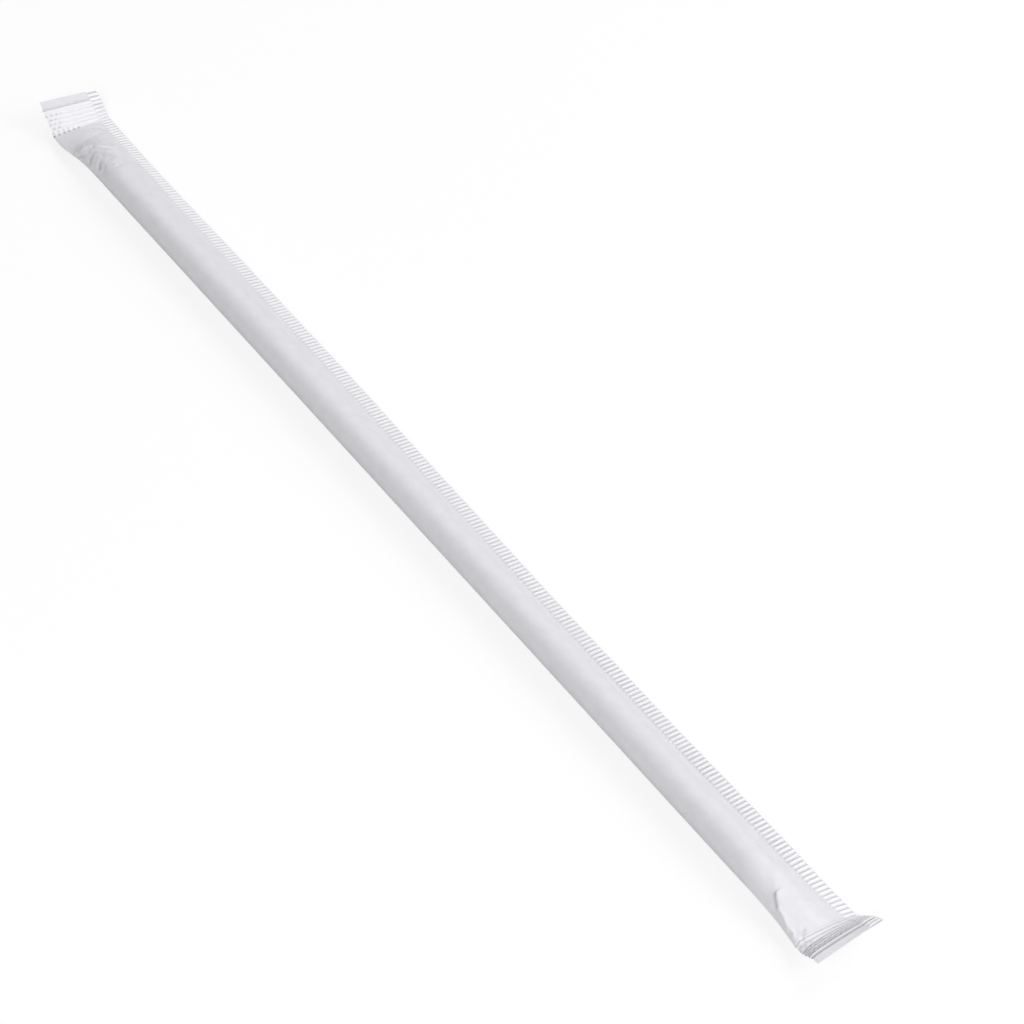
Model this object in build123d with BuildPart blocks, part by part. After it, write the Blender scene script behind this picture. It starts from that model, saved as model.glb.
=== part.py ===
"""A drinking straw sealed in its paper sleeve, lying on a table.

Millimetres, +Z up. X runs along the straw, +Y points to the crimped side seam and -Y to the folded
side. The origin is on the table, in the middle of the flat strip that the sleeve rests on.

The sleeve is one strip of paper, folded lengthwise round the straw. It is crimped shut along one side
and across both ends, so nothing can be seen or taken out of it, and the pack is one sealed solid.
"""
import os
from math import asin, atan2, cos, hypot, pi, radians, sin

from build123d import *

# The straw
straw_diameter = 5.86
straw_length = 197.0
straw_slide = 1.6  # the straw has slid this far along its sleeve, towards +X

# The paper sleeve, measured flat
paper_thickness = 0.06
sleeve_width = 13.8
sleeve_length = 241.6
seam_width = 2.7
end_seal_length = 7.2
end_strip_length = 1.8  # the plain strip between the last crimp and the cut end
crimp_thickness = 0.3  # two layers of paper, over the height of their crimp

# How the sleeve lies. The side seam droops to the table, by this angle in degrees.
seam_droop = 14.0
resting_share = 0.55  # the part of the lower sheet, between straw and seam, that lies flat on the table

# The end seals curl up off the table. Angles in degrees: rise is the slope along the pack, first over
# the crimps and then over the end strip. Roll is the slope across it at the seal's inner end, at the
# last crimp and at the cut end, with the folded side higher. Swing is the turn towards the seam.
near_rises, near_rolls, near_swing = (31.0, 5.0), (11.0, 5.0, 2.0), 3.0
far_rises, far_rolls, far_swing = (27.0, 24.0), (8.0, 15.0, 18.0), 6.0

# Worked out from the sizes above
radius = straw_diameter / 2 + paper_thickness
half_crimp = crimp_thickness / 2
seal_x = sleeve_length / 2 - end_seal_length


def tight_reach():
    """How far the seam's edge is from the line under the straw, with the paper drawn tight."""
    distance = sleeve_width
    for _ in range(60):
        distance = sleeve_width - radius * (pi / 2 + atan2(radius, distance))
    return distance


reach = tight_reach()
rest_width = (reach - seam_width) * resting_share
straw_y = -rest_width / 2
seal_y = straw_y + (reach - radius) / 2


def round_outline():
    """The corners of the sleeve's outline where it goes round the straw, as (y, z) places."""
    droop = radians(seam_droop)
    lift = (half_crimp * sin(droop), half_crimp * cos(droop))
    edge = (straw_y + reach, lift[1])
    inner = (edge[0] - seam_width * cos(droop), edge[1] + seam_width * sin(droop))
    seam_top = (inner[0] + lift[0], inner[1] + lift[1])

    def on_straw(angle):
        return (straw_y + radius * cos(angle), radius + radius * sin(angle))

    gap = (seam_top[0] - straw_y, seam_top[1] - radius)
    leave_angle = atan2(gap[1], gap[0]) + pi / 2 - asin(radius / hypot(*gap))
    fold_angle = asin(half_crimp / radius)
    corners = {
        "fold_top": on_straw(pi - fold_angle),
        "upper_middle": on_straw((pi - fold_angle + leave_angle) / 2),
        "leaves_straw": on_straw(leave_angle),
        "seam_top": seam_top,
        "edge_top": (edge[0] + lift[0], edge[1] + lift[1]),
        "edge_bottom": (edge[0] - lift[0], edge[1] - lift[1]),
        "seam_bottom": (inner[0] - lift[0], inner[1] - lift[1]),
        "lifts": (straw_y + rest_width, 0.0),
        "touches": (straw_y, 0.0),
        "lower_middle": on_straw(5 * pi / 4),
        "fold_bottom": on_straw(pi + fold_angle),
    }
    upper_wrap = radius * (pi - fold_angle - leave_angle)
    lower_wrap = radius * (pi / 2 - fold_angle)
    return corners, upper_wrap, lower_wrap


def length(first, second):
    """The straight distance between two of the round outline's corners."""
    (y1, z1), (y2, z2) = round_corners[first], round_corners[second]
    return hypot(y2 - y1, z2 - z1)


round_corners, upper_wrap, lower_wrap = round_outline()
upper_path = upper_wrap + length("leaves_straw", "seam_top")
lower_path = lower_wrap + rest_width + length("lifts", "seam_bottom")


def flat_outline(y, z, roll):
    """The same corners on a flat seal, at the same share of the way from the fold to the seam."""
    tilt = radians(roll)
    seam = sleeve_width - seam_width

    def place(from_fold, side):
        across = from_fold - sleeve_width / 2
        lift = side * half_crimp
        return (y + across * cos(tilt) + lift * sin(tilt), z - across * sin(tilt) + lift * cos(tilt))

    return {
        "fold_top": place(0, 1),
        "leaves_straw": place(seam * upper_wrap / upper_path, 1),
        "seam_top": place(seam, 1),
        "edge_top": place(sleeve_width, 1),
        "edge_bottom": place(sleeve_width, -1),
        "seam_bottom": place(seam, -1),
        "lifts": place(seam * (lower_wrap + rest_width) / lower_path, -1),
        "touches": place(seam * lower_wrap / lower_path, -1),
        "fold_bottom": place(0, -1),
    }


def seal_stations(end, rises, rolls, swing):
    """The inner end, last crimp and cut end of one seal, as (x, outline). `end` is 1 or -1."""
    x, y = seal_x, seal_y
    z = sleeve_width / 2 * sin(radians(rolls[0])) + half_crimp
    found = [(end * x, flat_outline(y, z, rolls[0]))]
    lengths = (end_seal_length - end_strip_length, end_strip_length)
    for stretch, rise, roll in zip(lengths, rises, rolls[1:]):
        run = stretch * cos(radians(rise))
        x += run * cos(radians(swing))
        y += run * sin(radians(swing))
        z += stretch * sin(radians(rise))
        found.append((end * x, flat_outline(y, z, roll)))
    return found


def outline(x, corners):
    """The pack's closed outline where it is cut across at x, as edges that start at the fold."""
    order = ("leaves_straw", "seam_top", "edge_top", "edge_bottom", "seam_bottom", "lifts", "touches")
    at = {name: (x, y, z) for name, (y, z) in corners.items()}
    sheets = [Edge.make_line(at[first], at[second]) for first, second in zip(order, order[1:])]
    if "upper_middle" in at:
        upper = Edge.make_three_point_arc(at["fold_top"], at["upper_middle"], at["leaves_straw"])
        lower = Edge.make_three_point_arc(at["touches"], at["lower_middle"], at["fold_bottom"])
    else:
        upper = Edge.make_line(at["fold_top"], at["leaves_straw"])
        lower = Edge.make_line(at["touches"], at["fold_bottom"])
    return [upper, *sheets, lower, Edge.make_line(at["fold_bottom"], at["fold_top"])]


def sealed_end(straw_end, stations):
    """The sleeve from the end of the straw to its cut end. Each face is ruled from fold to fold."""
    outlines = [outline(straw_end, round_corners)] + [outline(x, corners) for x, corners in stations]
    faces = [Face(Wire(outlines[0])), Face(Wire(outlines[-1]))]
    for inner, outer in zip(outlines, outlines[1:]):
        faces += [Face.make_surface_from_curves(first, second) for first, second in zip(inner, outer)]
    return Solid(Shell(faces))


straw_start = straw_slide - straw_length / 2
far_end = sealed_end(straw_start, seal_stations(-1, far_rises, far_rolls, far_swing))
near_end = sealed_end(straw_start + straw_length, seal_stations(1, near_rises, near_rolls, near_swing))

with BuildPart() as wrapped_straw:
    with BuildSketch(Plane(origin=(straw_start, 0, 0), x_dir=(0, 1, 0), z_dir=(1, 0, 0))):
        with BuildLine():
            corner = round_corners
            ThreePointArc(corner["fold_top"], corner["upper_middle"], corner["leaves_straw"])
            Polyline(
                corner["leaves_straw"], corner["seam_top"], corner["edge_top"], corner["edge_bottom"],
                corner["seam_bottom"], corner["lifts"], corner["touches"],
            )
            ThreePointArc(corner["touches"], corner["lower_middle"], corner["fold_bottom"])
            Line(corner["fold_bottom"], corner["fold_top"])
        make_face()
    extrude(amount=straw_length)
    add(far_end)
    add(near_end)

wrapped_straw.part.label = "wrapped_straw"

os.makedirs("parts", exist_ok=True)
export_step(wrapped_straw.part, "parts/wrapped_straw.step")

box = wrapped_straw.part.bounding_box()
print("sleeve lies", round(box.size.X, 1), "long,", round(box.size.Y, 1), "wide,", round(box.size.Z, 1), "high")
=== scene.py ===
# %% [markdown]
# # A drinking straw in its paper sleeve
#
# The real thing is one strip of thin white paper. A machine folds it lengthwise round a straw, crimps
# the two long edges together into a narrow seam, and crimps both ends flat. It could be modelled as a
# squashed tube with flaps added, but then the folds would not run on into the flaps. This lesson makes
# the sleeve as the machine does: it starts from a flat grid, which is the strip of paper, and carries
# every point of it to its place on the folded and crimped pack.

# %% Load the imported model
import functools
import math

import bmesh
import bpy
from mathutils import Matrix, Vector, noise


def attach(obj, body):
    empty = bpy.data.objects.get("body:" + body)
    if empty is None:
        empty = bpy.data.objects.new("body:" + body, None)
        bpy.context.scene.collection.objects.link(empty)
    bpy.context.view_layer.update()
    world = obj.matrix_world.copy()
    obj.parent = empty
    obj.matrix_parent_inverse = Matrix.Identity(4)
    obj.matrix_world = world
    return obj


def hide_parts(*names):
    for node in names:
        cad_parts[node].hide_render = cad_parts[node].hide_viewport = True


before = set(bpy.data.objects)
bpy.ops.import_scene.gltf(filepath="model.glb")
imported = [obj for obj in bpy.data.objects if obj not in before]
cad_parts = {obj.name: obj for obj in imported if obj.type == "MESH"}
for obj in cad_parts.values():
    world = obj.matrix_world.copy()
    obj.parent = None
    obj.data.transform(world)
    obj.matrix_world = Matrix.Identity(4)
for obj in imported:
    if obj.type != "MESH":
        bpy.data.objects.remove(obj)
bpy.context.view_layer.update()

# %% [markdown]
# ## Sizes
#
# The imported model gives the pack's place and its overall size. The straw and the paper have the same
# sizes here as there, in metres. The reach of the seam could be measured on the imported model, but it is
# worked out, so that it follows the sizes: with the paper drawn tight round the straw, what is left of
# its width lies between the straw and the edge of the seam. Each round of the loop comes closer to it.

# %% The sizes of the straw and the sleeve
MM = 0.001
STRAW_LENGTH = 197.0 * MM
STRAW_SLIDE = 1.6 * MM  # how far the straw has slid towards the +X end
RADIUS = 2.99 * MM  # the straw with one layer of paper round it
SLEEVE_WIDTH = 13.8 * MM  # pressed flat
SLEEVE_LENGTH = 241.6 * MM
SEAM_WIDTH = 2.7 * MM
SEAL_LENGTH = 7.2 * MM
STRIP_LENGTH = 1.8 * MM  # the plain strip between an end's last crimp and its cut edge
SHEETS = 0.14 * MM  # two layers of paper pressed together
RESTING_SHARE = 0.55  # how much of the lower sheet beside the straw lies on the table
SEAL_X = SLEEVE_LENGTH / 2 - SEAL_LENGTH
ROUNDS = 60

tight_reach = SLEEVE_WIDTH
for _ in range(ROUNDS):
    tight_reach = SLEEVE_WIDTH - RADIUS * (math.pi / 2 + math.atan2(RADIUS, tight_reach))
REST_WIDTH = (tight_reach - SEAM_WIDTH) * RESTING_SHARE
STRAW_Y = -REST_WIDTH / 2
print("the seam's edge lies", round(tight_reach / MM, 2), "mm from the line under the straw")

# %% [markdown]
# ## Small helpers
#
# Paper changes shape gently in some places and sharply in others. `table` reads a value from a short
# list of places, with straight lines between them, and `ramp` goes smoothly from 0 to 1. `hump` is a
# soft bump. `wobble` is smooth noise along the pack, for what a machine leaves uneven. Random numbers
# could do that too, but Blender's noise has no jumps and is the same on every run.


# %% Helpers that read and blend values
def table(pairs, at):
    """The value at a place, from (place, value) pairs in rising order."""
    if at <= pairs[0][0]:
        return pairs[0][1]
    for (x1, v1), (x2, v2) in zip(pairs, pairs[1:]):
        if at <= x2:
            return v1 + (v2 - v1) * (at - x1) / (x2 - x1)
    return pairs[-1][1]


def ramp(start, stop, at):
    """0 at the start, 1 at the stop, and a smooth step between them. It may run either way."""
    share = min(1.0, max(0.0, (at - start) / (stop - start)))
    return share * share * (3 - 2 * share)


def hump(at, middle, width):
    """1 at the middle, and close to 0 at twice the width away from it."""
    return math.exp(-(((at - middle) / width) ** 2))


def wobble(x, waves, track):
    """Smooth noise at x, with about this many waves in a metre. Another track gives other noise."""
    return noise.noise((x * waves, track, 0.0))


def between(first, second, share):
    """The point that share of the way from the first to the second."""
    return first + (second - first) * share


print("a quarter of the way along a ramp, it has risen to", round(ramp(0.0, 1.0, 0.25), 2))

# %% [markdown]
# ## The sleeve round the straw
#
# Cut across, the upper sheet goes round the straw and then straight down to the seam. The lower sheet
# leaves the straw underneath, lies flat on the table, and lifts a little to meet the seam. The seam
# droops, so that only its edge touches the table. A cloth simulation could find this outline, but lines
# and one arc give it exactly. Each stretch of it has a name, because the same stretches are found again,
# pressed flat, in the seals at the ends.

# %% The outline round the straw
SEAM_EDGE_HEIGHT = 0.21 * MM  # of the middle of the two sheets, with room for the ladder's grooves
DROOP = ((-95, 24), (-60, 15), (-20, 11), (20, 13), (60, 9), (90, 5), (105, 3))  # mm along, degrees
DROOP_WOBBLE = 2.0  # degrees
EXTRA_REACH = (  # mm along, mm that the seam's edge lies further out than on a tight sleeve
    (-110, 0.2), (-60, 0.4), (-20, 0.4), (0, 0.0), (36, -0.3),
    (70, -0.15), (86, 0.1), (100, 0.4), (108, 0.1),
)
REACH_WOBBLE = 0.5  # as a share of the extra reach


@functools.lru_cache(maxsize=None)
def round_corners(x):
    """Corners of the outline at x, as (y, z), with the seam's upward direction and the leaving angle."""
    droop = math.radians(table(DROOP, x / MM) + DROOP_WOBBLE * wobble(x, 60, 4.2))
    reach = tight_reach + table(EXTRA_REACH, x / MM) * MM * (1 + REACH_WOBBLE * wobble(x, 35, 9.1))
    across = Vector((math.cos(droop), -math.sin(droop)))
    up = Vector((math.sin(droop), math.cos(droop)))
    edge = Vector((STRAW_Y + reach, SEAM_EDGE_HEIGHT))
    inner = edge - across * SEAM_WIDTH
    centre = Vector((STRAW_Y, RADIUS))
    gap = inner + up * SHEETS / 2 - centre
    leave = math.atan2(gap.y, gap.x) + math.pi / 2 - math.asin(RADIUS / gap.length)
    return {"edge": edge, "inner": inner, "up": up, "centre": centre, "leave": leave}


def round_point(corners, stretch, share):
    """A point of the outline round the straw, and the direction in which its sheet faces outwards."""
    up, centre = corners["up"], corners["centre"]
    if stretch in ("lower_wrap", "upper_wrap"):
        bottom, fold = 1.5 * math.pi, math.pi
        start, stop = (bottom, fold) if stretch == "lower_wrap" else (fold, corners["leave"])
        angle = start + (stop - start) * share
        outward = Vector((math.cos(angle), math.sin(angle)))
        return centre + outward * RADIUS, outward
    if stretch == "slope":
        outward = Vector((math.cos(corners["leave"]), math.sin(corners["leave"])))
        return between(centre + outward * RADIUS, corners["inner"] + up * SHEETS / 2, share), outward
    if stretch == "upper_seam":
        return between(corners["inner"], corners["edge"], share) + up * SHEETS / 2, up
    if stretch == "edge":
        return corners["edge"] + up * SHEETS * (0.5 - share), up
    if stretch == "lower_seam":
        return between(corners["edge"], corners["inner"], share) - up * SHEETS / 2, up
    lifts = Vector((STRAW_Y + REST_WIDTH, 0.0))
    if stretch == "lower_rise":
        return between(corners["inner"] - up * SHEETS / 2, lifts, share), Vector((0, -1))
    return between(lifts, Vector((STRAW_Y, 0.0)), share), Vector((0, -1))


middle_corners = round_corners(0.0)
print("the upper sheet leaves the straw at", round(math.degrees(middle_corners["leave"])), "degrees")

# %% [markdown]
# ## The strip of paper
#
# The strip passes the same stretches on its way round the pack, from the seam's edge under the straw to
# the fold and back over it. On a flat seal, each stretch runs between two distances from the fold. Equal
# columns would be simpler, but round stretches need more faces than flat ones, so each stretch says how
# many columns of faces it gets.

# %% Stretches of the strip, and where they lie on a flat seal
wrap_length = RADIUS * (math.pi - middle_corners["leave"])
under_length = RADIUS * math.pi / 2
free_width = SLEEVE_WIDTH - SEAM_WIDTH
STRETCHES = (
    # name, columns, distance from the fold where it starts and ends, side of the pack
    ("lower_seam", 4, SLEEVE_WIDTH, free_width, -1),
    ("lower_rise", 2, free_width, under_length + REST_WIDTH, -1),
    ("lower_rest", 2, under_length + REST_WIDTH, under_length, -1),
    ("lower_wrap", 6, under_length, 0.0, -1),
    ("upper_wrap", 14, 0.0, wrap_length, 1),
    ("slope", 5, wrap_length, free_width, 1),
    ("upper_seam", 6, free_width, SLEEVE_WIDTH, 1),
    ("edge", 1, SLEEVE_WIDTH, SLEEVE_WIDTH, 0),
)
SEAM_STRETCHES = ("lower_seam", "upper_seam", "edge")
COLUMNS = sum(columns for _, columns, _, _, _ in STRETCHES)


@functools.lru_cache(maxsize=None)
def stretch_at(column):
    """(name, share of the stretch, distance from the fold, side) of a column, which may be a half one."""
    for name, columns, start, stop, side in STRETCHES:
        if column <= columns:
            share = column / columns
            if name == "edge":
                side = 1 - 2 * share
            return name, share, start + (stop - start) * share, side
        column -= columns
    raise ValueError("the strip has no such column")


print("the strip has", COLUMNS, "columns, and", round(wrap_length / MM, 1), "mm of it lies over the straw")

# %% [markdown]
# ## The edges of the end seals
#
# Each end is pressed flat and then curls up off the table. The seal near the +X end bends up steeply
# after its first crimps and levels out again. The one at the -X end lifts its folded side. A bent plane
# would curl evenly, so each seal is stretched between two lines instead, its folded edge and its seam
# edge, and a few places in space give both.

# %% The two edges of each seal
SEAL_EDGES = {
    # distance along the seal, then how far beyond its inner end, y and z, all in mm
    1: {
        "fold": ((0, (0.0, -4.9, 2.4)), (2.1, (2.0, -5.05, 2.75)), (5.2, (4.45, -5.5, 4.65)),
                 (5.7, (4.95, -5.5, 4.75)), (7.2, (6.2, -5.5, 4.85))),
        "seam": ((0, (0.65, 7.0, 0.3)), (1.0, (1.4, 7.05, 0.85)), (5.2, (4.15, 7.4, 3.8)),
                 (5.7, (4.6, 7.45, 4.1)), (7.2, (5.65, 7.5, 4.7))),
    },
    -1: {
        "fold": ((0, (-0.35, -4.85, 1.3)), (1.4, (0.6, -4.8, 2.3)), (5.4, (3.1, -4.85, 5.3)),
                 (7.2, (4.4, -4.7, 6.6))),
        "seam": ((0, (-0.5, 7.25, 0.2)), (2.0, (1.25, 7.5, 0.55)), (5.4, (4.4, 8.1, 1.75)),
                 (7.2, (5.7, 7.8, 2.9))),
    },
}


def seal_edge(end, name, along):
    """A place on one edge of a seal, at a distance along it from its inner end."""
    places = [(distance, Vector(place)) for distance, place in SEAL_EDGES[end][name]]
    beyond, y, z = table(places, along / MM) * MM
    return Vector((end * (SEAL_X + beyond), y, z))


for end in SEAL_EDGES:
    fold_height, seam_height = (seal_edge(end, name, SEAL_LENGTH).z / MM for name in ("fold", "seam"))
    print("seal", end, "ends", round(fold_height, 1), "to", round(seam_height, 1), "mm above the table")

# %% [markdown]
# ## A point of a seal
#
# Between its two edges a seal isn't quite flat: it arches a little, and a pinched tube keeps a small
# round lip along its fold. A flat seal would look like card. So a point is found on the straight line
# from the fold to the seam, and then raised by the arch and lowered by the lip.

# %% Between the edges of a seal
ARCH = {1: ((0, 0.45), (3, 0.3), (7.2, 0.1)), -1: ((0, 0.4), (4, 0.25), (7.2, 0.15))}  # mm
LIP_DROP = {1: ((0, 0.6), (3, 0.5), (5.4, 0.1), (7.2, 0.0)), -1: ((0, 0.2), (3, 0.0), (7.2, 0.0))}  # mm
LIP_WIDTH = 2.4 * MM
TILT_STEP = 0.15 * MM  # how far before and after a row its tilt is measured


@functools.lru_cache(maxsize=None)
def seal_row(end, along):
    """One row across a seal: its fold and seam places, its upward direction, its arch and lip drop."""
    fold, seam = seal_edge(end, "fold", along), seal_edge(end, "seam", along)
    after = seal_edge(end, "fold", along + TILT_STEP) + seal_edge(end, "seam", along + TILT_STEP)
    before = seal_edge(end, "fold", along - TILT_STEP) + seal_edge(end, "seam", along - TILT_STEP)
    up = ((after - before).cross(seam - fold) * end).normalized()
    arch, lip_drop = table(ARCH[end], along / MM) * MM, table(LIP_DROP[end], along / MM) * MM
    return fold, seam, up, arch, lip_drop


def flat_point(end, along, from_fold, side):
    """A point of a seal: along it from its inner end, from its fold, and up (+1) or down (-1) a layer."""
    fold, seam, up, arch, lip_drop = seal_row(end, round(max(0.0, along), 7))
    share = from_fold / SLEEVE_WIDTH
    height = arch * (1 - (2 * share - 1) ** 2) - lip_drop * max(0.0, 1 - from_fold / LIP_WIDTH) ** 2
    return between(fold, seam, share) + up * (height + side * SHEETS / 2), up


for end in SEAL_EDGES:
    place, _ = flat_point(end, 0.0, SLEEVE_WIDTH / 2, 1)
    print("in its middle, seal", end, "starts", round(place.z / MM, 1), "mm above the table")

# %% [markdown]
# ## The ladder of the long seam
#
# A heated toothed wheel presses the long seam, which leaves a ladder of short ridges across it. Both
# layers are pressed together, so a ridge moves the upper and the lower sheet the same way. A bump
# texture could draw the ridges, but the seam's edge would stay smooth, so they are real. Each crimp
# also carries painted light and shade for the colour: a painted highlight on a ridge (1) and painted
# shade in a groove (-1).

# %% Ridges of the ladder
CRIMP_PITCH = 0.87 * MM
CRIMP_PHASE = 0.25  # in pitches, at the middle of the pack
LADDER_HEIGHT = 0.26 * MM
LADDER_TOOTH = (0.3, 0.45)  # shares of the pitch over which a ridge rises and falls
LADDER_START = 0.4 * MM  # the ridges grow over this width, next to the free paper
LADDER_FADE = 0.5 * MM  # and sink over this width, next to the seam's edge
EDGE_LOSS = 0.4  # how much of their height they lose there
LADDER_WOBBLE = 0.3
# Painted highlight on the ladder's ridges and painted shade in its grooves, as colour
LADDER_PAINTED_HIGHLIGHT = 1.45
LADDER_PAINTED_SHADE = 0.42


def tooth(phase, rise, fall):
    """A crimp's profile, 0 in the groove and 1 on the ridge: phase counts the crimps."""
    phase -= math.floor(phase)
    return ramp(0.0, rise, phase) * (1 - ramp(1 - fall, 1.0, phase))


def ladder(s, from_fold):
    """The long seam's ridges at s along the strip: their height, and their painted highlight and shade."""
    depth = from_fold - free_width
    uneven = 1 + LADDER_WOBBLE * wobble(s, 300, 1.7)
    sunk = ramp(SEAM_WIDTH - LADDER_FADE, SEAM_WIDTH, depth)
    inside = ramp(0.0, LADDER_START, depth) * (1 - EDGE_LOSS * sunk)
    ridge = tooth(s / CRIMP_PITCH + CRIMP_PHASE, *LADDER_TOOTH)
    # painted highlight on the ridge, painted shade in the groove
    painted_shading = LADDER_PAINTED_HIGHLIGHT * ridge * ridge - LADDER_PAINTED_SHADE
    return LADDER_HEIGHT * inside * uneven * (ridge - 0.5), inside * uneven * painted_shading


print("the ladder has about", round(2 * SEAL_X / CRIMP_PITCH), "ridges between the end seals")

# %% [markdown]
# ## The dots next to the fold
#
# The wheels that press the ends are knurled, so rows of small dots lie among the ridges. They start at
# the fold, and each row ends at its own distance from it. A noise texture would scatter the dots, and
# real ones keep to the wheel's pitch, so each row is one soft pit, repeated.

# %% Rows of knurled dots
KNURL_PITCH = 1.17 * MM
DOT_LENGTH = 0.2 * MM  # along the seal
DOT_WIDTH = 0.3 * MM  # across it
ROW_FADE = 1.0  # mm over which a row ends
OUTSIDE_ROW = 0.02  # less of a row than this isn't worked out
KNURL_ROWS = {
    # distance along the seal in mm, depth of the dots, shift in pitches, how far the row reaches in mm
    1: ((1.0, 0.6, 0.5, 2.6), (1.7, 0.8, 0.0, 3.4), (2.5, 1.0, 0.5, 5.0), (3.2, 1.0, 0.0, 8.0),
        (3.9, 1.0, 0.5, 11.0), (4.6, 1.1, 0.0, 12.0)),
    -1: ((0.1, 1.6, 0.1, 6.8), (0.75, 0.8, 0.1, 5.4), (1.5, 0.8, 0.6, 3.2), (2.4, 0.7, 0.1, 3.8),
         (3.3, 0.7, 0.6, 3.2), (4.2, 0.8, 0.1, 4.2)),
}


def knurl(end, along, from_fold):
    """How deep in a dot a point of a seal lies: 0 outside, and about 1 in the middle of a deep one."""
    pit = 0.0
    for place, depth, shift, reach in KNURL_ROWS[end]:
        near_row = hump(along, place * MM, DOT_LENGTH)
        if near_row > OUTSIDE_ROW:
            off = (from_fold / KNURL_PITCH - shift + 0.5) % 1.0 - 0.5
            near_dot = hump(off * KNURL_PITCH, 0.0, DOT_WIDTH)
            pit += depth * near_row * near_dot * (1 - ramp((reach - ROW_FADE) * MM, reach * MM, from_fold))
    return pit


for end, rows in KNURL_ROWS.items():
    print("seal", end, "has", len(rows), "rows of dots")

# %% [markdown]
# ## The ridges of the end seals
#
# Ridges run across each end, parallel to its cut edge. The last crimp is the deepest, with a raised lip
# before it and a plain strip after it. The ladder's function could be used again, but these ridges are
# lower, change along the seal and carry the dots, so they have their own.

# %% Ridges of an end seal
SEAL_PITCH = 0.9 * MM
SEAL_PHASE = 0.6
SEAL_HEIGHT = 0.13 * MM
SEAL_TOOTH = (0.4, 0.4)  # shares of the pitch over which a ridge rises and falls
LAST_CRIMP = SEAL_LENGTH - STRIP_LENGTH
SEAL_START = 0.2 * MM  # the ridges grow over this length on both sides of the seal's inner end
SEAL_FADE = 0.3 * MM  # and end over this length
LINES = (  # distance before the last crimp, width, strength
    (0.0, 0.22 * MM, 1.0),
    (0.85 * MM, 0.2 * MM, 0.5),
)
LIP_BEFORE, LIP_SIZE = 0.42 * MM, 0.22 * MM  # distance before the last crimp, width
RAISED_LIP, LINE_DEPTH, DOT_DEPTH = 0.1 * MM, 0.22 * MM, 0.2 * MM

# How much painted highlight (above 0) or painted shade (below 0) each feature gets in its colour.
# A table gives it by mm along the seal.
RIDGE_PAINTED_HIGHLIGHT = {1: ((0, 0.8), (1.7, 0.7), (2.3, 0.15), (5.2, 0.1)), -1: ((0, 0.46), (5.4, 0.46))}
GROOVE_PAINTED_SHADING = {1: -0.08, -1: 0.1}
STRIP_PAINTED_SHADE = {1: 0.0, -1: -0.1}
LINE_PAINTED_SHADE = {1: 0.7, -1: 0.38}
LIP_PAINTED_HIGHLIGHT, DOT_PAINTED_SHADE = 0.5, 0.95


def end_crimp(end, along, from_fold):
    """An end seal's ridges, the dots by its fold and the deep last crimp: height, and painted shading."""
    inside = ramp(-SEAL_START, SEAL_START, along) * (1 - ramp(LAST_CRIMP - SEAL_FADE, LAST_CRIMP, along))
    ridge = tooth(along / SEAL_PITCH + SEAL_PHASE, *SEAL_TOOTH)
    pit = min(1.0, knurl(end, along, from_fold))
    deep = sum(strength * hump(along, LAST_CRIMP - before, width) for before, width, strength in LINES)
    lip = hump(along, LAST_CRIMP - LIP_BEFORE, LIP_SIZE)
    height = inside * SEAL_HEIGHT * (ridge - 0.5) + RAISED_LIP * lip - LINE_DEPTH * deep - DOT_DEPTH * pit

    # painted highlight on ridges and lip; painted shade in grooves, the deep lines, the dots and the -X
    # end's strip
    white = GROOVE_PAINTED_SHADING[end] + ridge * table(RIDGE_PAINTED_HIGHLIGHT[end], along / MM)
    strip = STRIP_PAINTED_SHADE[end] * ramp(LAST_CRIMP, LAST_CRIMP + SEAL_FADE, along)
    painted_shading = inside * white * (1 - pit) + LIP_PAINTED_HIGHLIGHT * lip + strip
    return height, painted_shading - LINE_PAINTED_SHADE[end] * deep - DOT_PAINTED_SHADE * pit


print("the last crimp lies", round(LAST_CRIMP / MM, 1), "mm along a seal of", SEAL_LENGTH / MM, "mm")
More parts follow.
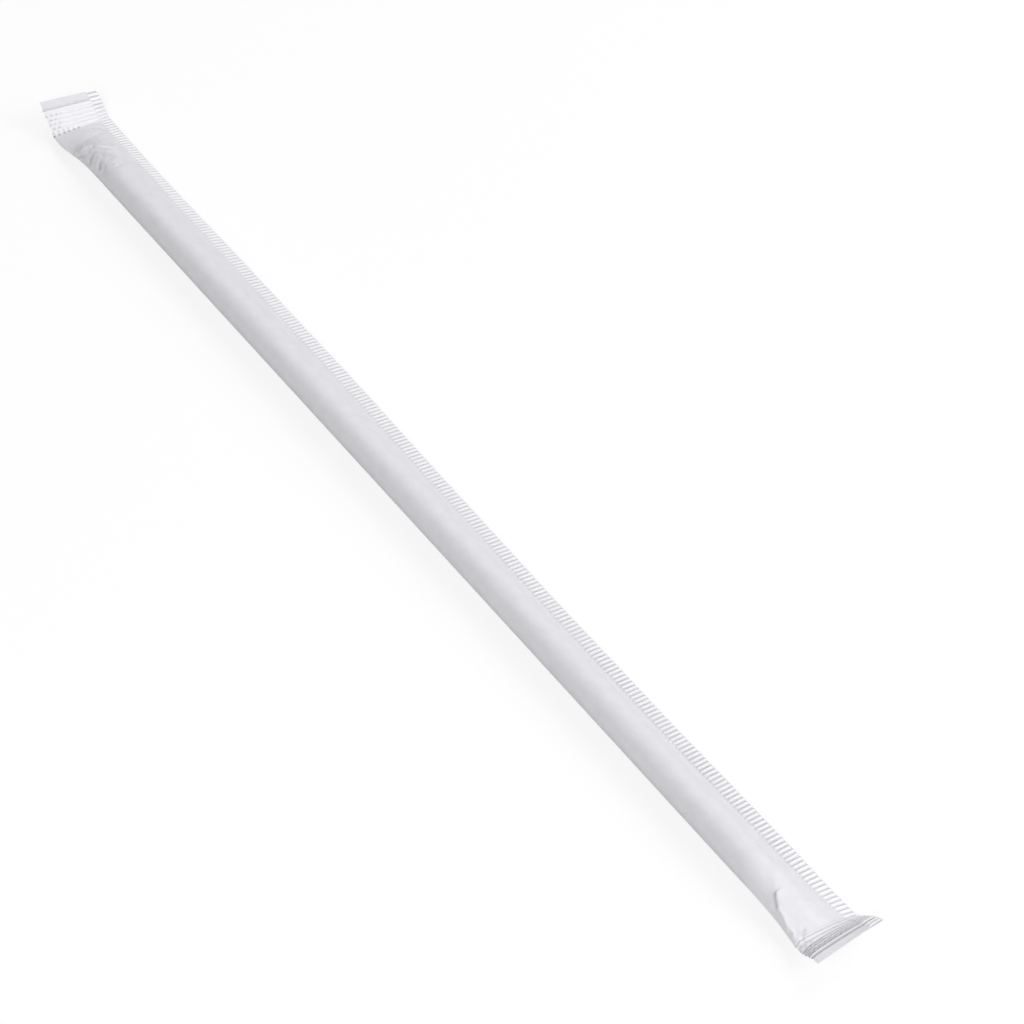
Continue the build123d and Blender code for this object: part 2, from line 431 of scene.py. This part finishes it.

# %% [markdown]
# ## Creases
#
# Where the paper goes from round to flat it buckles, and thin paper keeps a sharp line where it has
# buckled. A cloth simulation would put its creases elsewhere, so these are laid one by one. Each crease is
# a short line on the strip, and the paper next to it rises or sinks with a pointed profile, so the line
# itself stays crisp. Little light reaches the bottom of a sharp valley, so it is greyer too.

# %% Creases near the ends
# Each point is (distance inwards from the seal, distance from the fold) in mm; then height and width.
CREASES = {
    1: (
        (((10.5, 5.6), (7.0, 3.1)), 0.25, 1.2),
        (((7.0, 3.1), (6.2, 2.3), (4.4, 1.5), (2.5, 0.9), (0.9, 0.7)), 0.7, 0.7),
        (((7.2, 3.2), (7.3, 4.5)), 0.3, 0.2),
        (((7.4, 3.1), (5.9, 1.9)), -0.6, 0.25),
        (((0.9, 3.2), (0.4, 2.4), (-0.5, 1.5)), -0.4, 0.22),
        (((0.7, 2.2), (0.2, 1.6), (-0.6, 1.0)), 0.25, 0.25),
        (((5.0, 5.4), (4.4, 8.5), (4.1, 11.0)), 0.07, 0.5),
    ),
    -1: (
        (((5.3, 1.8), (6.3, 3.5), (4.9, 7.1), (3.8, 9.5)), -0.26, 0.9),
        (((8.5, 3.0), (9.8, 4.6), (11.8, 7.4)), 0.45, 1.8),
        (((16.2, 2.3), (18.8, 1.9)), -0.35, 0.5),
        (((8.7, 3.4), (9.6, 4.6), (10.7, 5.3), (11.8, 7.4), (9.5, 9.6)), 0.1, 0.2),
        (((9.9, 4.2), (11.2, 5.4), (12.2, 7.2)), -0.2, 0.2),
        (((7.9, 1.0), (8.2, 0.3), (9.9, 0.8)), 0.25, 0.2),
        (((9.3, 0.8), (10.4, 1.3)), -0.4, 0.2),
        (((9.0, 0.8), (8.8, 2.0), (8.5, 3.2)), 0.2, 0.3),
        (((12.2, 2.4), (13.0, 1.3)), -0.6, 0.18),
        (((13.4, 2.0), (14.6, 2.5), (15.4, 2.6)), 0.18, 0.18),
        (((15.6, 2.8), (16.4, 1.7)), -0.7, 0.2),
        (((17.3, 2.9), (18.2, 2.0)), -0.3, 0.18),
        (((18.1, 4.0), (19.1, 4.6), (19.7, 5.6), (18.6, 6.7)), -0.2, 0.18),
        (((13.4, 5.2), (15.0, 6.0), (15.6, 7.0)), -0.18, 0.25),
        (((11.6, 3.2), (12.6, 4.4), (14.4, 4.6)), -0.2, 0.2),
        (((2.6, 12.0), (1.4, 10.4), (0.3, 9.2)), 0.2, 0.25),
        (((3.6, 11.4), (2.4, 9.8), (1.6, 8.4)), -0.22, 0.25),
    ),
}
LINE_SHIFT = 0.22  # mm that noise moves a crease's line, so that it isn't quite straight
SHIFT_WAVES = 0.9  # waves of that noise in a mm
WIDTHS_AWAY = 5  # a crease does nothing beyond this many of its widths
# Painted shade: sharp valleys are made greyer in colour, where little light reaches
SHARP_VALLEY = 0.3  # the width in mm below which little light reaches a valley
VALLEY_SHADE = 0.8


def crease(end, inwards, from_fold):
    """How far the creases push the upper sheet outwards, and how much painted shade the sharp valleys get.
    """
    here = Vector((inwards / MM, from_fold / MM))
    shift = noise.noise_vector(Vector((here.x * SHIFT_WAVES, here.y * SHIFT_WAVES, end * 3.0)))
    here += LINE_SHIFT * shift.to_2d()
    height, shade = 0.0, 0.0
    for points, lift, width in CREASES[end]:
        nearest = math.inf
        for a, b in zip(points, points[1:]):
            a, b = Vector(a), Vector(b)
            share = min(1.0, max(0.0, (here - a).dot(b - a) / (b - a).length_squared))
            nearest = min(nearest, (here - between(a, b, share)).length)
        if nearest < WIDTHS_AWAY * width:
            profile = math.exp(-nearest / width)
            height += lift * MM * profile
            # painted shade in a sharp valley
            if lift < 0 and width < SHARP_VALLEY:
                shade += VALLEY_SHADE * lift * profile
    return height, shade


print("there are", len(CREASES[1]), "creases near the +X end and", len(CREASES[-1]), "near the other")

# %% [markdown]
# ## Crumples
#
# Round the creases the paper has many small dents, too many to lay by hand. Noise folded at zero has
# pointed ridges, as crumpled paper has, and plain noise would look like dough. Three sizes of it are
# added together near the ends. Along the straw the paper is tight and only has slow, shallow waves.

# %% Small dents and slow waves
CRUMPLE_DEPTH = 0.25 * MM
CRUMPLE_SIZES = ((1.0, 1.0), (2.1, 0.5), (4.3, 0.6))  # how much finer, and how strong
CRUMPLE_WAVES = (180, 0.16)  # in a metre along the strip, and in a column
CRUMPLE_PLACE = {
    # strength, then mm inwards from nothing to full strength, from the straw's side and the seal's side
    1: (0.6, (12, 6), (-1, 2)),
    -1: (0.9, (22, 15), (1, 8)),
}
SLOW_HEIGHT = 0.035 * MM
SLOW_WAVES = (45, 0.09)


def crumple(end, inwards, x, column):
    """Small folds where the sleeve flattens, and slow waves along the rest of it."""
    place = Vector((x * CRUMPLE_WAVES[0], column * CRUMPLE_WAVES[1], end * 5.0))
    folded = sum(strong * abs(noise.noise(place * finer)) for finer, strong in CRUMPLE_SIZES)
    strength, straw_side, seal_side = CRUMPLE_PLACE[end]
    for nothing, full in (straw_side, seal_side):
        strength *= ramp(nothing * MM, full * MM, inwards)
    slow = noise.noise(Vector((x * SLOW_WAVES[0], column * SLOW_WAVES[1], 2.0)))
    return -CRUMPLE_DEPTH * folded * strength + SLOW_HEIGHT * slow


print("the slow waves along the straw are up to", round(SLOW_HEIGHT / MM, 3), "mm high")

# %% [markdown]
# ## From round to flat
#
# Over the straw the strip follows the round outline, and in a seal the flat one. Between them it goes
# almost straight from one to the other, as paper does when a tube is pinched flat. A smooth step would
# bend the paper in two directions at once, which paper can't do. Its bend at the straw's end is soft.

# %% How flat the sleeve is
SOFT_BEND = 0.16  # how soft the bend at the straw's end is, as a share of the way to the seal


def flatness(past_end):
    """0 over the straw and 1 at the seal, from the share of the way between them."""
    def soft(share):
        return (share + math.sqrt(share * share + SOFT_BEND * SOFT_BEND)) / 2
    return min(1.0, soft(past_end) / soft(1.0))


print("halfway to the seal the sleeve is", round(flatness(0.5), 2), "of the way to flat")

# %% [markdown]
# ## Folding the strip
#
# `relief` adds up what stands out of the paper at one point of the strip: the ladder, the end crimps,
# the creases and the crumples. `place_on_pack` carries the point to the pack and moves it outwards by
# that much. A lattice or a curve modifier could fold a grid too, but neither can pinch a tube into a
# flat seal, and one function of two numbers is easy to read.

# %% From the strip to the pack
FOLD_CLOSES = 0.4 * MM  # nearer to the fold than this, the two layers come together
CRIMP_OVERLAP = 0.3 * MM  # on the upper sheet, the end crimps reach this far inwards
CRIMP_ON_SEAM = 0.3  # how strongly the end crimps' painted light and shade tint the ladder
CRUMPLE_STOPS = 1.0 * MM  # the crumples fade out over this width, next to the seam
ROUND_ENOUGH = 0.002  # less flatness than this counts as round
FOLD_BULGE = {1: -0.25 * MM, -1: 0.45 * MM}  # how far the fold stands out between straw and seal
BULGE_PLACE, BULGE_LENGTH, BULGE_WIDTH = 4.5 * MM, 4.0 * MM, 3.0 * MM  # inwards, along, from the fold


def relief(s, column):
    """How far the paper stands out at a point of the strip, and its painted light and shade."""
    stretch, _, from_fold, side = stretch_at(column)
    end = 1 if s > 0 else -1
    inwards = SEAL_X - abs(s)
    on_seam = stretch in SEAM_STRETCHES
    lift, painted_shading = ladder(s, from_fold) if on_seam else (0.0, 0.0)
    if inwards < CRIMP_OVERLAP and (side > 0 or inwards <= 0):
        crimp, crimp_painted_shading = end_crimp(end, -inwards, from_fold)
        lift, painted_shading = lift + crimp, painted_shading + crimp_painted_shading * (CRIMP_ON_SEAM if on_seam else 1.0)
    if side > 0 and not on_seam:
        crease_lift, shade = crease(end, inwards, from_fold)
        lift, painted_shading = lift + crease_lift, painted_shading + shade
        if inwards > 0:
            free_of_seam = ramp(free_width, free_width - CRUMPLE_STOPS, from_fold)
            lift += crumple(end, inwards, s, column) * free_of_seam
    return lift, max(-1.0, min(1.0, painted_shading))


def place_on_pack(s, column):
    """Where the strip's point lies, from its distance along the strip and its column, and its painted
    shading.
    """
    stretch, share, from_fold, side = stretch_at(column)
    end = 1 if s > 0 else -1
    inwards = SEAL_X - abs(s)
    layer = side if from_fold > FOLD_CLOSES else side * from_fold / FOLD_CLOSES
    lift, painted_shading = relief(s, column)
    if inwards <= 0:
        point, up = flat_point(end, -inwards, from_fold, layer)
        return point + up * lift, painted_shading

    (y, z), (face_y, face_z) = round_point(round_corners(round(s, 6)), stretch, share)
    point, outward = Vector((s, y, z)), Vector((0.0, face_y, face_z))
    straw_end = STRAW_LENGTH / 2 + end * STRAW_SLIDE
    flat_share = flatness((abs(s) - straw_end) / (SEAL_X - straw_end))
    if flat_share > ROUND_ENOUGH:
        flat, up = flat_point(end, 0.0, from_fold, layer)
        flat.x -= end * inwards
        point = between(point, flat, flat_share)
        by_fold = max(0.0, 1 - from_fold / BULGE_WIDTH)
        point.y -= FOLD_BULGE[end] * hump(inwards, BULGE_PLACE, BULGE_LENGTH) * by_fold
        faces_up = side > 0 or stretch in SEAM_STRETCHES
        outward = between(outward, up if faces_up else -up, flat_share).normalized()
    return point + outward * lift, painted_shading


top = max(place_on_pack(0.0, column)[0].z for column in range(COLUMNS + 1))
print("in the middle of the pack, the paper's top lies", round(top / MM, 2), "mm above the table")

# %% [markdown]
# ## A flat strip
#
# The strip starts as a grid with a row for each sixth of a crimp along the seam, and closer rows in the
# seals. A finer grid everywhere would be simpler but heavy, so only the ends, where the small creases
# are, get twice the columns. Each face keeps its place on the flat strip as a UV map, because the
# fibres of the paper follow the strip and not the folded pack.

# %% Build the flat strip
ROWS_PER_CRIMP = 6
ROW = CRIMP_PITCH / ROWS_PER_CRIMP
SEAL_ROW = ROW * 0.62
FINE_FROM = SEAL_X - 17 * MM  # from here to the ends, the strip has twice the columns
body_rows = round(SEAL_X / ROW)
seal_rows = round(SEAL_LENGTH / SEAL_ROW)
half_rows = body_rows + seal_rows


def strip_length_at(row):
    """The distance along the strip of a row, counted from the middle of the strip."""
    size = abs(row)
    if size <= body_rows:
        distance = SEAL_X * size / body_rows
    else:
        distance = SEAL_X + SEAL_LENGTH * (size - body_rows) / seal_rows
    return math.copysign(distance, row)


mesh_builder = bmesh.new()
bmesh.ops.create_grid(mesh_builder, x_segments=2 * half_rows, y_segments=COLUMNS, size=1.0)
for vertex in mesh_builder.verts:
    vertex.co = Vector((vertex.co.x * half_rows, (vertex.co.y + 1) / 2 * COLUMNS, 0.0))

fine_row = body_rows * FINE_FROM / SEAL_X
across_edges = [
    edge for edge in mesh_builder.edges
    if abs(edge.verts[0].co.x - edge.verts[1].co.x) < 0.5 and abs(edge.verts[0].co.x) > fine_row
]
bmesh.ops.subdivide_edges(mesh_builder, edges=across_edges, cuts=1, use_grid_fill=True)

flat_layer = mesh_builder.loops.layers.uv.new("paper")
for face in mesh_builder.faces:
    for corner in face.loops:
        row, column = corner.vert.co.x, corner.vert.co.y
        corner[flat_layer].uv = (strip_length_at(row), 2 * SLEEVE_WIDTH * column / COLUMNS)
print("the flat strip has", len(mesh_builder.verts), "points")

# %% [markdown]
# ## Fold it and close it
#
# Each vertex is carried to its place, and keeps its painted light and shade as an attribute for the
# colour. The seam's two long edges then lie in the same place and are merged, and the two cut ends are
# closed. The sheet could be left open there, but a closed mesh is a real body that can be printed and
# measured.

# %% Fold the strip and close it
SHARP_ANGLE = math.radians(55)
SAME_PLACE = 0.0001 * MM

# painted light and shade for the colour, kept on each vertex
painted_shading_layer = mesh_builder.verts.layers.float.new("painted_shading")
for vertex in mesh_builder.verts:
    s = strip_length_at(vertex.co.x)
    column = min(COLUMNS, max(0.0, round(vertex.co.y * 2) / 2))
    vertex.co, vertex[painted_shading_layer] = place_on_pack(s, column)
    vertex.co.z = max(0.0, vertex.co.z)

bmesh.ops.remove_doubles(mesh_builder, verts=mesh_builder.verts, dist=SAME_PLACE)
open_edges = [edge for edge in mesh_builder.edges if edge.is_boundary]
print("the two cut ends have", len(open_edges), "open edges before they are closed")
bmesh.ops.holes_fill(mesh_builder, edges=open_edges, sides=0)
bmesh.ops.recalc_face_normals(mesh_builder, faces=mesh_builder.faces)
for edge in mesh_builder.edges:
    edge.smooth = edge.calc_face_angle(0.0) < SHARP_ANGLE

sleeve_mesh = bpy.data.meshes.new("paper_sleeve")
mesh_builder.to_mesh(sleeve_mesh)
sleeve_mesh.polygons.foreach_set("use_smooth", [True] * len(sleeve_mesh.polygons))
triangles = sum(len(polygon.vertices) - 2 for polygon in sleeve_mesh.polygons)
still_open = sum(edge.is_boundary for edge in mesh_builder.edges)
lowest = min(vertex.co.z for vertex in mesh_builder.verts)
volume = mesh_builder.calc_volume(signed=True)
mesh_builder.free()
print("folded:", triangles, "triangles,", still_open, "open edges, lowest point", round(lowest / MM, 3),
      "mm, volume", round(volume * 1e9), "cubic mm")

# %% [markdown]
# ## Paper
#
# The paper is thin, white and uncoated. Held to the light it is cloudy, because the pulp lies unevenly,
# and close to it has short fibres. A picture of paper could be wrapped round the pack, but noise never
# repeats and needs no file. The cloud is a few millimetres across and only tints the colour. The fibres
# are fine, and also roughen the surface. By the attribute that the folding kept, a painted highlight mixes
# the colour towards white on ridges, and painted shade mixes it towards grey in grooves, dots and valleys.


# %% Material of the paper
def new_material(name):
    """A material with an empty node tree, its nodes and a function that links them."""
    material = bpy.data.materials.new(name)
    material.use_nodes = True
    nodes = material.node_tree.nodes
    nodes.clear()
    return material, nodes, material.node_tree.links.new


THIN_TINT, THICK_TINT = (0.775, 0.771, 0.806, 1), (0.830, 0.826, 0.860, 1)
TINT_FROM, TINT_TO = 0.34, 0.66
# Painted highlight white and painted shade grey, mixed in by the attribute
PAINTED_HIGHLIGHT_WHITE = (0.965, 0.96, 0.98, 1)
PAINTED_SHADE_GREY = (0.36, 0.355, 0.38, 1)
CLOUD_WAVES, FIBRE_WAVES = 420, 2600  # in a metre
FIBRE_STRETCH = (1.0, 3.5, 1.0)
FIBRE_SHARE = 0.25  # of the tint
FIBRE_HEIGHT = 0.02 * MM
FACTOR, COLOUR_A, COLOUR_B, MIXED_COLOUR = 0, 6, 7, 2  # sockets of a Mix node that mixes colours


def pulp_tint(nodes, link, strip):
    """The paper's own colour, and its fibres as a value."""
    cloud = nodes.new("ShaderNodeTexNoise")
    cloud.inputs["Scale"].default_value = CLOUD_WAVES
    cloud.inputs["Detail"].default_value = 5
    cloud.inputs["Roughness"].default_value = 0.6
    link(strip.outputs["UV"], cloud.inputs["Vector"])
    stretch = nodes.new("ShaderNodeMapping")
    stretch.inputs["Scale"].default_value = FIBRE_STRETCH
    link(strip.outputs["UV"], stretch.inputs["Vector"])
    fibre = nodes.new("ShaderNodeTexNoise")
    fibre.inputs["Scale"].default_value = FIBRE_WAVES
    fibre.inputs["Detail"].default_value = 4
    link(stretch.outputs["Vector"], fibre.inputs["Vector"])

    blend = nodes.new("ShaderNodeMix")
    blend.inputs["Factor"].default_value = FIBRE_SHARE
    link(cloud.outputs["Fac"], blend.inputs["A"])
    link(fibre.outputs["Fac"], blend.inputs["B"])
    tint = nodes.new("ShaderNodeValToRGB")
    thin, thick = tint.color_ramp.elements
    thin.position, thin.color = TINT_FROM, THIN_TINT
    thick.position, thick.color = TINT_TO, THICK_TINT
    link(blend.outputs["Result"], tint.inputs["Fac"])
    return tint.outputs["Color"], fibre.outputs["Fac"]


def painted_shading_colour(nodes, link, colour):
    """The colour, mixed towards white for a painted highlight and towards grey for painted shade."""
    painted_shading = nodes.new("ShaderNodeAttribute")
    painted_shading.attribute_name = "painted_shading"
    flipped = nodes.new("ShaderNodeMath")
    flipped.operation = "MULTIPLY"
    flipped.inputs[1].default_value = -1.0
    link(painted_shading.outputs["Fac"], flipped.inputs[0])
    for amount, full in ((painted_shading.outputs["Fac"], PAINTED_HIGHLIGHT_WHITE), (flipped.outputs["Value"], PAINTED_SHADE_GREY)):
        mix = nodes.new("ShaderNodeMix")
        mix.data_type = "RGBA"
        mix.clamp_factor = True
        link(amount, mix.inputs[FACTOR])
        link(colour, mix.inputs[COLOUR_A])
        mix.inputs[COLOUR_B].default_value = full
        colour = mix.outputs[MIXED_COLOUR]
    return colour


def make_paper():
    """Uncoated white paper with clouds of pulp and fine fibres."""
    paper, nodes, link = new_material("white_paper")
    strip = nodes.new("ShaderNodeUVMap")
    strip.uv_map = "paper"
    tint, fibre = pulp_tint(nodes, link, strip)
    rough = nodes.new("ShaderNodeBump")
    rough.inputs["Strength"].default_value = 0.35
    rough.inputs["Distance"].default_value = FIBRE_HEIGHT
    link(fibre, rough.inputs["Height"])

    surface = nodes.new("ShaderNodeBsdfPrincipled")
    surface.inputs["Roughness"].default_value = 0.75
    surface.inputs["Specular IOR Level"].default_value = 0.25
    link(painted_shading_colour(nodes, link, tint), surface.inputs["Base Color"])
    link(rough.outputs["Normal"], surface.inputs["Normal"])
    output = nodes.new("ShaderNodeOutputMaterial")
    link(surface.outputs["BSDF"], output.inputs["Surface"])
    return paper


sleeve_paper = make_paper()
sleeve_mesh.materials.append(sleeve_paper)
print("the paper's material has", len(sleeve_paper.node_tree.nodes), "nodes")

# %% [markdown]
# ## The sleeve takes its place
#
# The sleeve is one object. It lies still on the table, so it rides on the model's only body. It is shown
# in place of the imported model's plain solid, which could be kept under it but would poke through.

# %% Show the sleeve instead of the plain solid
sleeve = bpy.data.objects.new("paper_sleeve", sleeve_mesh)
bpy.context.scene.collection.objects.link(sleeve)
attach(sleeve, "root")
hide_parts("wrapped_straw")
print("the sleeve is shown with", len(sleeve_mesh.vertices), "points")

# %% [markdown]
# ## Table
#
# The pack lies on a plain white table. White paint under this light would look grey, and more light
# would bleach the paper. So the table adds some light of its own, but only where it is seen itself, and
# still takes the pack's soft shadow. The nodes that tell how a thing is seen are made by a helper,
# because the sky needs them too.

# %% A white table
TABLE_SIZE = 3.0  # m from its middle to each edge
TABLE_COLOUR = (0.6, 0.6, 0.6, 1)
TABLE_GLOW = 1.3
GLOW_SHARE = 0.6  # the rest is the matte surface with the shadow


def seen_itself(nodes, link):
    """A socket that gives 1 where the thing itself is seen, mirrored or through glass too."""
    path = nodes.new("ShaderNodeLightPath")
    seen = path.outputs["Is Camera Ray"]
    for ray in ("Is Glossy Ray", "Is Transmission Ray"):
        either = nodes.new("ShaderNodeMath")
        either.operation = "MAXIMUM"
        link(seen, either.inputs[0])
        link(path.outputs[ray], either.inputs[1])
        seen = either.outputs["Value"]
    return seen


def make_table():
    """A white matte table that looks white to the camera and still takes the shadow."""
    white, nodes, link = new_material("white_table")
    matte = nodes.new("ShaderNodeBsdfDiffuse")
    matte.inputs["Color"].default_value = TABLE_COLOUR
    glow = nodes.new("ShaderNodeEmission")
    glow.inputs["Strength"].default_value = TABLE_GLOW
    level = nodes.new("ShaderNodeMath")
    level.operation = "MULTIPLY"
    level.inputs[1].default_value = GLOW_SHARE
    both = nodes.new("ShaderNodeMixShader")
    output = nodes.new("ShaderNodeOutputMaterial")
    link(seen_itself(nodes, link), level.inputs[0])
    link(level.outputs["Value"], both.inputs[0])
    link(matte.outputs["BSDF"], both.inputs[1])
    link(glow.outputs["Emission"], both.inputs[2])
    link(both.outputs["Shader"], output.inputs["Surface"])

    table_builder = bmesh.new()
    bmesh.ops.create_grid(table_builder, x_segments=1, y_segments=1, size=TABLE_SIZE)
    mesh = bpy.data.meshes.new("table")
    table_builder.to_mesh(mesh)
    table_builder.free()
    mesh.materials.append(white)
    table_top = bpy.data.objects.new("table", mesh)
    bpy.context.scene.collection.objects.link(table_top)
    return table_top


make_table()
print("the table is", 2 * TABLE_SIZE, "m wide")

# %% [markdown]
# ## Lamps
#
# White paper shows its shape only through soft differences in grey, so no lamp may be strong or small.
# One large soft lamp would leave the folded side flat. Here the main one stands on the seam's side by
# the +X end, one behind lights the slope from the other end, and one in front lifts the folded side.

# %% Three soft lamps
LAMPS = (
    # name, direction from the pack, distance and size in metres, power in watts
    ("main_lamp", (0.58, 0.58, 0.57), 1.15, 0.75, 6.4),
    ("back_lamp", (-0.3, 0.76, 0.57), 1.3, 0.8, 4.6),
    ("front_lamp", (0.46, -0.66, 0.68), 1.2, 0.7, 6.5),
)


def aim_at(thing, place):
    """Turns a lamp or the camera to look at a place."""
    thing.rotation_euler = (place - thing.location).to_track_quat("-Z", "Y").to_euler()


for name, direction, distance, size, power in LAMPS:
    lamp = bpy.data.lights.new(name, "AREA")
    lamp.size = size
    lamp.energy = power
    holder = bpy.data.objects.new(name, lamp)
    holder.location = Vector(direction).normalized() * distance
    bpy.context.scene.collection.objects.link(holder)
    aim_at(holder, Vector((0.0, 0.0, 0.0)))
    print(name, "stands", round(holder.location.z, 2), "m above the table")

# %% [markdown]
# ## Sky
#
# The sky fills the shadows a little. Seen itself it is plain white, so that it doesn't look dark above
# the table from a low angle. One strength for both would either light the paper too much or look dark,
# so two backgrounds are mixed by how the sky is seen.

# %% A white sky that gives little light
SKY_LIGHT = 0.26
SKY_WHITE = 1.0


def make_sky():
    """A white sky that gives the pack only a little light."""
    sky = bpy.data.worlds.new("sky")
    sky.use_nodes = True
    nodes, link = sky.node_tree.nodes, sky.node_tree.links.new
    nodes.clear()
    both = nodes.new("ShaderNodeMixShader")
    link(seen_itself(nodes, link), both.inputs[0])
    for place, strength in ((1, SKY_LIGHT), (2, SKY_WHITE)):
        background = nodes.new("ShaderNodeBackground")
        background.inputs["Color"].default_value = (1, 1, 1, 1)
        background.inputs["Strength"].default_value = strength
        link(background.outputs["Background"], both.inputs[place])
    link(both.outputs["Shader"], nodes.new("ShaderNodeOutputWorld").inputs["Surface"])
    return sky


bpy.context.scene.world = make_sky()
print("the sky lights the pack with strength", SKY_LIGHT)

# %% [markdown]
# ## Camera
#
# The camera looks down on the pack from half a metre away, so that the +X end is nearer and larger. A
# long lens keeps the two sides of the long pack almost parallel. It could be placed by its coordinates,
# but two angles, a distance and a place to look at are easier to change.

# %% Camera
CAMERA_AZIMUTH = 54.85  # degrees
CAMERA_ELEVATION = 47.9
CAMERA_DISTANCE = 0.498
SENSOR_WIDTH = 36  # mm
LENS = 102.3  # mm
AIM = Vector((0.0164, 0.0119, 0.0))

camera_data = bpy.data.cameras.new("camera")
camera_data.sensor_width = SENSOR_WIDTH
camera_data.lens = LENS
camera = bpy.data.objects.new("camera", camera_data)
azimuth, elevation = math.radians(CAMERA_AZIMUTH), math.radians(CAMERA_ELEVATION)
towards_camera = Vector((
    math.sin(azimuth) * math.cos(elevation),
    -math.cos(azimuth) * math.cos(elevation),
    math.sin(elevation),
))
camera.location = AIM + towards_camera * CAMERA_DISTANCE
bpy.context.scene.collection.objects.link(camera)
aim_at(camera, AIM)
bpy.context.scene.camera = camera
bpy.context.scene.view_settings.view_transform = "Standard"
print("the camera stands", round(camera.location.z, 2), "m above the table")
